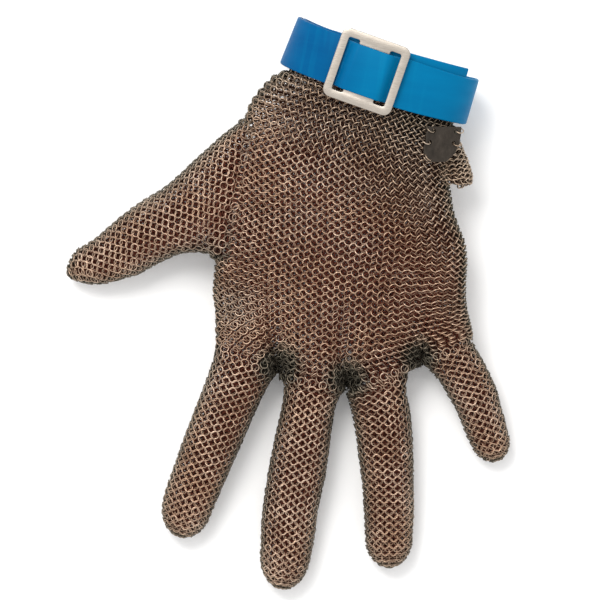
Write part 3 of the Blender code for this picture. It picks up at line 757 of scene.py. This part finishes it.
def strap_material():
    mat, tree, nodes, shader = new_material("strap_blue_plastic")
    long = noise(tree, 60.0, 4.0, stretch=(0.25, 2.2, 1.0),
                 turn=(0, 0, STRAP_SLOPE))
    coord = node(tree, "ShaderNodeTexCoord")
    split = node(tree, "ShaderNodeSeparateXYZ")
    tree.links.new(coord.outputs["Object"], split.inputs[0])
    # painted shade: the strap's blue is darker to the left and lighter to the right
    # along x
    painted_shade_blue = ramp(tree, long, [(0.3, (0.0, 0.072, 0.205)), (0.72, (0.0, 0.090, 0.235))])
    painted_lit_blue = ramp(tree, long, [(0.3, (0.0, 0.120, 0.270)), (0.72, (0.0, 0.145, 0.310))])
    base = mix(tree, remap(tree, split.outputs[0], -0.004, 0.012, 0.0, 1.0),
               painted_shade_blue, painted_lit_blue)
    scuff = noise(tree, 260.0, 4.0, 0.65, stretch=(0.12, 3.0, 1.0),
                  turn=(0, 0, STRAP_SLOPE + 0.2))
    base = mix(tree, remap(tree, scuff, 0.60, 0.80, 0.0, 0.14), base,
               (0.002, 0.165, 0.315))
    # painted highlight: paler streaks across the strap
    sheen_streak = noise(tree, 150.0, 3.0, 0.5, stretch=(2.4, 0.10, 0.4),
                   turn=(0, 0, -STRAP_SLOPE))
    base = mix(tree, remap(tree, sheen_streak, 0.55, 0.72, 0.0, 0.22), base,
               (0.002, 0.20, 0.36))
    tree.links.new(base, shader.inputs["Base Color"])
    tree.links.new(remap(tree, scuff, 0.35, 0.75, 0.36, 0.52),
                   shader.inputs["Roughness"])
    shader.inputs["Specular IOR Level"].default_value = 0.04
    bump(tree, noise(tree, 700.0, 3.0, stretch=(0.5, 1.6, 1.0)), 0.12, 0.0001,
         shader)
    return mat


def buckle_material():
    mat, tree, nodes, shader = new_material("buckle_brushed_steel")
    brush = noise(tree, 2600.0, 3.0, 0.6, stretch=(0.10, 2.6, 1.0),
                  turn=(0, 0, -STRAP_SLOPE))
    cloud = noise(tree, 70.0, 3.0)
    base = ramp(tree, brush, [(0.25, (0.40, 0.355, 0.305)),
                              (0.5, (0.45, 0.405, 0.352)),
                              (0.75, (0.50, 0.455, 0.402))])
    base = mix(tree, remap(tree, cloud, 0.45, 0.75, 0.0, 0.30), base,
               (0.33, 0.29, 0.25))
    tree.links.new(base, shader.inputs["Base Color"])
    shader.inputs["Metallic"].default_value = 1.0
    tree.links.new(remap(tree, brush, 0.3, 0.7, 0.24, 0.42),
                   shader.inputs["Roughness"])
    bump(tree, brush, 0.10, 0.00006, shader)
    return mat


def tag_material():
    mat, tree, nodes, shader = new_material("tag_dark_steel")
    cloud = noise(tree, 420.0, 5.0, 0.62, stretch=(1.0, 0.55, 1.0))
    base = ramp(tree, cloud, [(0.30, (0.028, 0.023, 0.018)),
                              (0.48, (0.040, 0.032, 0.025)),
                              (0.62, (0.052, 0.042, 0.033)),
                              (0.80, (0.095, 0.080, 0.065))])
    tree.links.new(base, shader.inputs["Base Color"])
    shader.inputs["Metallic"].default_value = 0.75
    tree.links.new(remap(tree, cloud, 0.3, 0.7, 0.62, 0.38),
                   shader.inputs["Roughness"])
    bump(tree, noise(tree, 800.0, 4.0), 0.3, 0.00008, shader)
    return mat


# ---------------------------------------------------------------- mail
MAIL = mail_material()
TOTAL = {"rings": 0, "triangles": 0}


def finish_piece(obj, mat, slot, *nodes):
    obj.data.materials.clear()
    obj.data.materials.append(mat)
    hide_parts(*nodes)
    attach(obj, "root")
    mesh = obj.data
    TOTAL["triangles"] += sum(len(p.vertices) - 2 for p in mesh.polygons)


def mail_pieces(name, rings, rng, node_name, parts, radius=RING, **more):
    at, axis, out, under = rings.arrays()
    top = under < 0.5
    for label, mask, segments, sides, wire in (("top", top, 12, 4, WIRE),
                                               ("palm", ~top, 7, 3, 0.7)):
        index = np.where(mask)[0]
        if not len(index):
            continue
        limit = 195000 // (segments * sides * 2)
        pieces = max(parts, int(math.ceil(len(index) / limit)))
        order = index[np.argsort(-at[index, 1], kind="stable")]
        for k, chunk in enumerate(np.array_split(order, pieces)):
            label_k = f"{name}_{label}" + (f"_{k + 1}" if pieces > 1 else "")
            obj = ring_mesh(label_k, at[chunk], axis[chunk], out[chunk], rng,
                            segments, sides, radius, wire,
                            # rings flagged 0.4 get extra painted shade
                            shade=np.where(under[chunk] == 0.4, 0.55, 0.0),
                            **more)
            finish_piece(obj, MAIL, "mail", node_name)
            TOTAL["rings"] += len(chunk)


def build_hand_mail():
    rng = np.random.default_rng(71)
    P = hand_grid()
    W = P.shape[1]
    P = P + grid_normals(P) * (0.35 * field(P, 3, 22.0))[..., None]
    rings = Rings()
    levels = mean_levels(P, slice(W // 16, W // 2 - W // 16))
    hole = thumb_hole()
    y_lo, y_hi = hole[:, 1].min(), hole[:, 1].max()
    x_in = hole[:, 0].max()

    def in_hole(at):
        return (at[:, 0] < x_in - 0.6) & (at[:, 1] > y_lo + 0.5) & (
            at[:, 1] < y_hi - 0.5) & (at[:, 0] < -24)

    def by_the_cuff(at):
        far = np.clip((at[:, 1] - 52 + 0.35 * (at[:, 0] - 10) * 0.5) / 26, 0, 1)
        return 16.0 * far * far

    def gathered(at):
        far = np.clip((at[:, 1] - 42 + 0.5 * (at[:, 0] - 10)) / 38, 0, 1)
        return 1 - 0.27 * far * far * (3 - 2 * far) * (
            1 + 0.25 * field(at, 21, 30.0))

    lay_rows(rings, P, levels, W // 4, 3 * W // 4, rng, row=1.50, pitch=4.45,
             lean=(26.0, 34.0), lift=0.16, depth=0.9, skip=in_hole,
             wander=0.22, skew=HAND_SKEW, side_wander=9.0, ease=0.35,
             lean_more=by_the_cuff, gather=gathered)
    lay_rows(rings, P, levels, 3 * W // 4, W // 4, rng, skip=in_hole,
             ease=0.35, **UNDER)
    for x, y, size, amount in VALLEYS[:3]:      # mail bunched between fingers
        n = 64
        at = np.stack([x + rng.normal(0, 1.1, n), y + rng.uniform(-2.6, 9.0, n),
                       rng.uniform(5.0, 13.5, n)], 1)
        axis = rng.normal(0, 1, (n, 3)) * np.array([1.0, 0.8, 0.55])
        rings.add(at, axis, np.tile([0.0, 0.0, 1.0], (n, 1)), np.zeros(n))
    n = 160                                     # and low at the thumb's root, flagged 0.4 for painted shade
    at = np.stack([rng.uniform(-35, -28, n), rng.uniform(16, 54, n),
                   rng.uniform(2.5, 9.0, n)], 1)
    axis = rng.normal(0, 1, (n, 3)) * np.array([0.5, 0.5, 1.0])
    rings.add(at, axis, np.tile([0.0, 0.0, 1.0], (n, 1)), np.full(n, 0.4))
    mail_pieces("hand_mail_rings", rings, rng, "hand_mail", 1)


def build_stall_mail(name, table, tip, outline):
    rng = np.random.default_rng(100 + len(table) * 7 + len(name))
    P = stall_grid(name, table, tip, outline)
    W = P.shape[1]
    rings = Rings()
    if name == "thumb_stall":
        P = P + grid_normals(P) * (0.2 * field(P, 3, 20.0))[..., None]
        d = unit(np.array([-0.764, -0.646, 0.0]))
        along = P @ d
        centre = P.mean(axis=1)
        ref = int(np.argmin(np.abs(centre[:, 0] + 64.5)))
        run = mean_levels(P, slice(0, W))
        fade = np.clip((run - run[ref]) / 14.0, 0, 1)
        mean_ref = along[ref].mean()
        past = (along[ref][None, :] * (1 - fade) + mean_ref * fade
                + run - run[ref])
        levels = np.where(np.arange(len(P))[:, None] <= ref, along, past)
        levels = np.maximum.accumulate(levels, axis=0)
        levels = levels + np.arange(len(P))[:, None] * 1e-6
        lay_rows(rings, P, levels, W // 2, 3 * W // 4, rng,
                 lean=(14.0, 30.0), lift=0.22, depth=0.85, ease=0.15)
        lay_rows(rings, P, levels, W // 2, 0, rng, **UNDER)
    else:
        levels = mean_levels(P, slice(0, W // 2))
        lay_rows(rings, P, levels, W // 4, 3 * W // 4, rng,
                 lean=(13.0, 32.0), lift=0.24, depth=0.85)
        lay_rows(rings, P, levels, 3 * W // 4, W // 4, rng, **UNDER)
    # the last ring closes the tip
    end = P[-1].mean(axis=0)
    inward = unit(P[-40].mean(axis=0) - end)
    rings.add((end + inward * 0.8)[None], -inward[None], -inward[None],
              np.zeros(1))
    mail_pieces(name + "_rings", rings, rng, name, 1)
    return P


def build_seam_rings():
    """A line of rings that joins the thumb to the hand."""
    rng = np.random.default_rng(9)
    hole = thumb_hole()
    loop = np.concatenate([hole, hole[:1]])
    arc = np.concatenate([[0], np.cumsum(
        np.linalg.norm(np.diff(loop, axis=0), axis=1))])
    n = int(arc[-1] / 2.3)
    want = np.linspace(0, arc[-1], n, endpoint=False)
    at = np.stack([np.interp(want, arc, loop[:, c]) for c in range(3)], 1)
    ahead = unit(np.roll(at, -1, axis=0) - np.roll(at, 1, axis=0))
    mid = hole.mean(axis=0)
    out = unit((at - mid) * np.array([0.0, 1.0, 1.0]) + np.array([-4.0, 0, 0]))
    sign = np.where(np.arange(n) % 2 == 0, 1.0, -1.0)[:, None]
    axis = unit(out + ahead * sign * 0.75)
    rings = Rings()
    rings.add(at - out * 0.9 + np.array([-0.2, 0, 0]), axis, out,
              np.where(out[:, 2] < -0.3, 1.0, 0.0))
    mail_pieces("thumb_seam_rings", rings, rng, "thumb_stall", 1)


def build_flap_mail():
    rng = np.random.default_rng(31)
    rows = rows_of(FLAP_COLUMNS, FLAP)
    grid = []
    for s in np.linspace(0, len(rows) - 1, 60):
        r = blend_rows(rows, s)
        line = []
        for a in np.linspace(math.pi / 2, -math.pi / 2, 61):
            inner_x = (r["top_x"] + r["low_x"]) / 2 + (
                r["top_x"] - r["low_x"]) / 2 * math.sin(a)
            inner_x -= 4.5 * max(0.0, math.sin(a)) ** 0.5
            x = inner_x + (r["out_x"] - inner_x) * abs(math.cos(a)) ** 0.8
            z = (r["out_z"] + (r["top_z"] - r["out_z"]) * max(0, math.sin(a))
                 + (r["low_z"] - r["out_z"]) * max(0, -math.sin(a)))
            line.append((x, r["y"], z))
        grid.append(line)
    P = np.array(grid)
    rings = Rings()
    levels = P[0, 30, 1] - P[:, :, 1] + 0.25 * (P[:, :, 0] - 56.0)
    N = grid_normals(P, False)
    if N[:, 30, 0].mean() < 0:
        P = P[:, ::-1]
        levels = levels[:, ::-1]
    lay_rows(rings, P, levels, 30, 0, rng, row=1.0, pitch=2.9,
             lean=(50.0, 66.0), lift=0.35, depth=1.1, closed=False,
             wander=0.12, skew=24.0, side_wander=10.0, zone="all", shake=0.1)
    filled = len(rings.at)
    lay_rows(rings, P, levels, 30, 0, rng, row=1.5, pitch=2.0,
             lean=(28.0, 28.0), lift=0.0, depth=2.5, closed=False,
             wander=0.08, side_wander=6.0, zone="all")
    for k in range(filled, len(rings.at)):
        rings.under[k][:] = 0.4          # the fold's inside, flagged 0.4 for painted shade
    mail_pieces("cuff_flap_rings", rings, rng, "cuff_flap", 1,
                tones=(0.65, 1.0), flank=0.3)


# ---------------------------------------------------------------- strap
def strap_frame():
    along = Vector((math.cos(STRAP_SLOPE), math.sin(STRAP_SLOPE), 0))
    arm = Vector((-math.sin(STRAP_SLOPE), math.cos(STRAP_SLOPE), 0))
    up = Vector((0, 0, 1))
    c, s = math.cos(STRAP_LEAN), math.sin(STRAP_LEAN)
    return along, arm * c + up * s, up * c - arm * s


def smooth_step(lo, hi, v):
    f = max(0.0, min(1.0, (v - lo) / (hi - lo)))
    return f * f * (3 - 2 * f)


def buckle_plane():
    under = strap_path(450.0)[1]
    return under + STRAP_THICK / 2 + 0.3 + BUCKLE_THICK / 2


def strap_path(deg):
    layer = smooth_step(285, 372, deg)
    a = math.radians(deg)
    ca, sa = math.cos(a), math.sin(a)
    u = math.copysign(abs(ca) ** (2 / STRAP_ROUND), ca)
    w = math.copysign(abs(sa) ** (2 / STRAP_ROUND), sa)
    grow = STRAP_LAYER * layer
    u *= STRAP_HALF_WIDE + grow
    w *= STRAP_HALF_HIGH + grow
    shift = 3.5 * (1 - smooth_step(24, 165, deg))
    return u, w, shift


def weave(u, w):
    far = abs(u - BUCKLE_AT)
    middle = BUCKLE_WIDE / 2 - BUCKLE_BAR - BUCKLE_SLOT
    lift = BUCKLE_THICK + STRAP_THICK + 0.75
    rise = 1 - smooth_step(middle - 0.25, middle + BUCKLE_SLOT - 0.15, far)
    return lift * rise


def buckle_line(u):
    return (buckle_plane() - 0.15
            + math.tan(BUCKLE_ROLL) * (u - BUCKLE_AT))


def strap_points():
    pts = []
    deg = STRAP_START
    while deg < STRAP_END:
        u, w, shift = strap_path(deg)
        if 400 < deg < 500:
            near = abs(u - BUCKLE_AT) < BUCKLE_WIDE / 2 - 0.5
            plane = buckle_line(u)
            low = plane - BUCKLE_THICK / 2 - 0.3 - STRAP_THICK / 2
            w_under = min(w, low) if near else w
            w = w_under
            if near and weave(u, w) > 0:
                high = plane + BUCKLE_THICK / 2 + 0.32 + STRAP_THICK / 2
                rise = weave(u, w) / (BUCKLE_THICK + STRAP_THICK + 0.75)
                w = w_under * (1 - rise) + high * rise
        pts.append((u, w, shift))
        deg += 0.45 if 412 < deg < 488 else 2.2
    return pts


def rounded_outline(wide, tall, radius, steps):
    out = []
    for cx, cy, start in ((1, 1, 0), (-1, 1, 90), (-1, -1, 180), (1, -1, 270)):
        for k in range(steps + 1):
            a = math.radians(start + 90 * k / steps)
            out.append((cx * (wide / 2 - radius) + radius * math.cos(a),
                        cy * (tall / 2 - radius) + radius * math.sin(a)))
    return out


def world(p):
    return Vector(((p[0] - ORIGIN[0]) * MM, (p[1] - ORIGIN[1]) * MM,
                   (p[2] - ORIGIN[2]) * MM))


def build_strap():
    along, arm, up = strap_frame()
    centre = Vector(STRAP_CENTRE)
    pts = np.array(strap_points())
    soft = pts.copy()
    for _ in range(2):       # eases the small steps beside the buckle
        soft[1:-1] = (soft[:-2] + 2 * soft[1:-1] + soft[2:]) / 4
    pts = soft
    section = rounded_outline(STRAP_WIDTH, STRAP_THICK, 0.6, 3)
    bm = bmesh.new()
    loops = []
    for i, (u, w, shift) in enumerate(pts):
        p0, p1 = pts[max(0, i - 1)], pts[min(len(pts) - 1, i + 1)]
        tangent = Vector((p1[0] - p0[0], p1[1] - p0[1])).normalized()
        normal = Vector((-tangent.y, tangent.x))
        loop = []
        for side, face in section:
            wide = 1 - 0.075 * smooth_step(6, 38, u)
            if w > 0 and abs(u - BUCKLE_AT) < 16:
                wide -= 0.05 * (1 - smooth_step(10.4, 12.5, abs(u - BUCKLE_AT)))
            crown = 1.3 * smooth_step(26, 38, -u) * (1 - (side / 10) ** 2)
            uu = (u + normal.x * face) * (1 - STRAP_TAPER * side) - crown
            side = side * wide - 2.4 * smooth_step(0, 22, -w)
            side += 0.5 * smooth_step(6, 38, u)
            ww = w + normal.y * face + 0.3 * smooth_step(0, 22, -w)
            loop.append(bm.verts.new(world(
                centre + along * uu + arm * (shift + side) + up * ww)))
        loops.append(loop)
    n = len(section)
    for a, b in zip(loops, loops[1:]):
        for k in range(n):
            bm.faces.new((a[k], a[(k + 1) % n], b[(k + 1) % n], b[k]))
    bm.faces.new(loops[0])
    bm.faces.new(tuple(reversed(loops[-1])))
    bmesh.ops.recalc_face_normals(bm, faces=bm.faces[:])
    mesh = bpy.data.meshes.new("strap_band")
    bm.to_mesh(mesh)
    bm.free()
    mesh.shade_smooth()
    mesh.set_sharp_from_angle(angle=math.radians(50))
    obj = bpy.data.objects.new("strap_band", mesh)
    bpy.context.scene.collection.objects.link(obj)
    finish_piece(obj, strap_material(), "strap", "wrist_strap")


# ---------------------------------------------------------------- plates
def plate(name, outlines, thick, place, bevel):
    bm = bmesh.new()
    edges = []
    for outline in outlines:
        vs = [bm.verts.new(Vector((x * MM, y * MM, -thick / 2 * MM)))
              for x, y in outline]
        edges += [bm.edges.new((vs[i], vs[(i + 1) % len(vs)]))
                  for i in range(len(vs))]
    bmesh.ops.triangle_fill(bm, use_beauty=True, edges=edges)
    bmesh.ops.dissolve_limit(bm, angle_limit=0.02, verts=bm.verts[:],
                             edges=[e for e in bm.edges if len(e.link_faces) == 2])
    faces = bm.faces[:]
    made = bmesh.ops.extrude_face_region(bm, geom=faces)
    moved = [g for g in made["geom"] if isinstance(g, bmesh.types.BMVert)]
    bmesh.ops.translate(bm, vec=(0, 0, thick * MM), verts=moved)
    bmesh.ops.recalc_face_normals(bm, faces=bm.faces[:])
    rim = [e for e in bm.edges if len(e.link_faces) == 2
           and e.calc_face_angle(0) > math.radians(60)]
    rim = [e for e in rim if abs(e.verts[0].co.z - e.verts[1].co.z) < 1e-7]
    bmesh.ops.bevel(bm, geom=rim, offset=bevel * MM, segments=3, profile=0.5,
                    affect="EDGES", clamp_overlap=True)
    bmesh.ops.transform(bm, matrix=place, verts=bm.verts[:])
    bmesh.ops.triangulate(bm, faces=[f for f in bm.faces if len(f.verts) > 4])
    mesh = bpy.data.meshes.new(name)
    bm.to_mesh(mesh)
    bm.free()
    mesh.shade_smooth()
    mesh.set_sharp_from_angle(angle=math.radians(32))
    obj = bpy.data.objects.new(name, mesh)
    bpy.context.scene.collection.objects.link(obj)
    return obj


def build_buckle():
    along, arm, up = strap_frame()
    centre = (Vector(STRAP_CENTRE) + along * BUCKLE_AT
              + up * buckle_line(BUCKLE_AT))
    roll = Matrix.Rotation(-BUCKLE_ROLL, 3, arm)
    x_axis, z_axis = roll @ along, roll @ up
    place = Matrix((
        (x_axis.x, arm.x, z_axis.x, 0), (x_axis.y, arm.y, z_axis.y, 0),
        (x_axis.z, arm.z, z_axis.z, 0), (0, 0, 0, 1)))
    place.translation = world(centre)
    slot_mid = BUCKLE_WIDE / 2 - BUCKLE_BAR - BUCKLE_SLOT / 2
    slot = rounded_outline(BUCKLE_SLOT, BUCKLE_TALL - 2 * BUCKLE_BAR, 0.8, 4)
    outlines = [rounded_outline(BUCKLE_WIDE, BUCKLE_TALL, BUCKLE_CORNER, 10),
                [(x - slot_mid, y) for x, y in slot],
                [(x + slot_mid, y) for x, y in slot]]
    obj = plate("buckle_frame", outlines, BUCKLE_THICK, place, 0.28)
    finish_piece(obj, buckle_material(), "buckle", "buckle")


TAG_OUTLINE = [
    (-5.6, 6.9), (8.2, 7.1), (8.1, 3.9), (7.5, 0.9), (6.7, -1.2), (5.6, -3.4),
    (3.9, -4.9), (2.6, -6.2), (1.6, -7.0), (-4.9, -7.1), (-6.9, -6.0),
    (-8.1, -3.4), (-8.1, -0.9), (-7.3, 0.4), (-7.1, 3.8), (-6.5, 5.9)]
TAG_HOLES = [(-5.5, 0.7), (4.9, 0.5), (-3.7, 5.2), (5.9, 5.1)]
TAG_RINGS = [(-7.1, 0.9, 12.0), (6.5, 0.4, -8.0), (-5.3, 5.7, 25.0),
             (7.5, 5.5, -10.0), (-6.3, -5.2, 40.0)]


def build_tag():
    turn = Matrix.Rotation(TAG_TURN, 4, "Z") @ Matrix.Rotation(TAG_TILT, 4, "Y")
    place = turn.copy()
    place.translation = world(TAG_CENTRE)
    holes = [[(x + 0.85 * math.cos(a), y + 0.85 * math.sin(a))
              for a in np.arange(14) * 2 * math.pi / 14] for x, y in TAG_HOLES]
    obj = plate("tag_face", [TAG_OUTLINE] + holes, TAG_THICK, place, 0.16)
    finish_piece(obj, tag_material(), "tag", "tag_plate")
    rng = np.random.default_rng(55)
    frame3 = np.array(turn.to_3x3())
    rings = Rings()
    for x, y, swing in TAG_RINGS:
        a = math.radians(swing)
        axis = frame3 @ np.array([math.sin(a) * 0.8, math.cos(a) * 0.8, 0.62])
        rings.add((np.array(TAG_CENTRE) + frame3 @ np.array([x, y, 0.35]))[None],
                  axis[None], (frame3 @ np.array([0, 0, 1.0]))[None],
                  np.zeros(1))
    mail_pieces("tag_rings", rings, rng, "tag_plate", 1)


build_hand_mail()
for entry in STALLS:
    build_stall_mail(*entry)
build_seam_rings()
build_flap_mail()
build_strap()
build_buckle()
build_tag()


# ---------------------------------------------------------------- studio
def build_floor():
    mesh = bpy.data.meshes.new("floor")
    half = 3.0
    mesh.from_pydata([(-half, -half, 0), (half, -half, 0), (half, half, 0),
                      (-half, half, 0)], [], [(0, 1, 2, 3)])
    floor = bpy.data.objects.new("floor", mesh)
    bpy.context.scene.collection.objects.link(floor)
    mat, tree, nodes, shader = new_material("floor_white")
    shader.inputs["Base Color"].default_value = (0.93, 0.93, 0.93, 1)
    shader.inputs["Roughness"].default_value = 0.9
    shader.inputs["Emission Color"].default_value = (1, 1, 1, 1)
    shader.inputs["Emission Strength"].default_value = 0.03
    mesh.materials.append(mat)


def area_light(name, place, target, size, power, colour=(1, 1, 1)):
    data = bpy.data.lights.new(name, "AREA")
    data.shape = "RECTANGLE"
    data.size, data.size_y = size
    data.energy = power
    data.color = colour
    obj = bpy.data.objects.new(name, data)
    obj.location = place
    aim = Vector(target) - Vector(place)
    obj.rotation_euler = aim.to_track_quat("-Z", "Y").to_euler()
    bpy.context.scene.collection.objects.link(obj)


def build_studio():
    world_data = bpy.data.worlds.new("studio")
    bpy.context.scene.world = world_data
    world_data.use_nodes = True
    tree = world_data.node_tree
    back = tree.nodes["Background"]
    coord = tree.nodes.new("ShaderNodeTexCoord")
    split = tree.nodes.new("ShaderNodeSeparateXYZ")
    tree.links.new(coord.outputs["Generated"], split.inputs[0])
    sky = ramp(tree, split.outputs[2], [
        (0.0, (0.85, 0.85, 0.85)), (0.3, (0.9, 0.9, 0.9)),
        (0.7, (1.0, 1.0, 1.0)), (1.0, (1.0, 1.0, 1.0))])
    tree.links.new(sky, back.inputs[0])
    back.inputs[1].default_value = 1.1
    area_light("key", (-0.45, 0.55, 1.15), (0, 0, 0.0), (0.6, 0.6), 11.5,
               (1.0, 0.985, 0.96))
    bpy.context.scene.view_settings.view_transform = "Standard"
    bpy.context.scene.view_settings.look = "None"
    bpy.context.scene.view_settings.exposure = 0.0
    bpy.context.scene.view_settings.gamma = 1.0


build_floor()
build_studio()

print("rings", TOTAL["rings"], "triangles", TOTAL["triangles"])
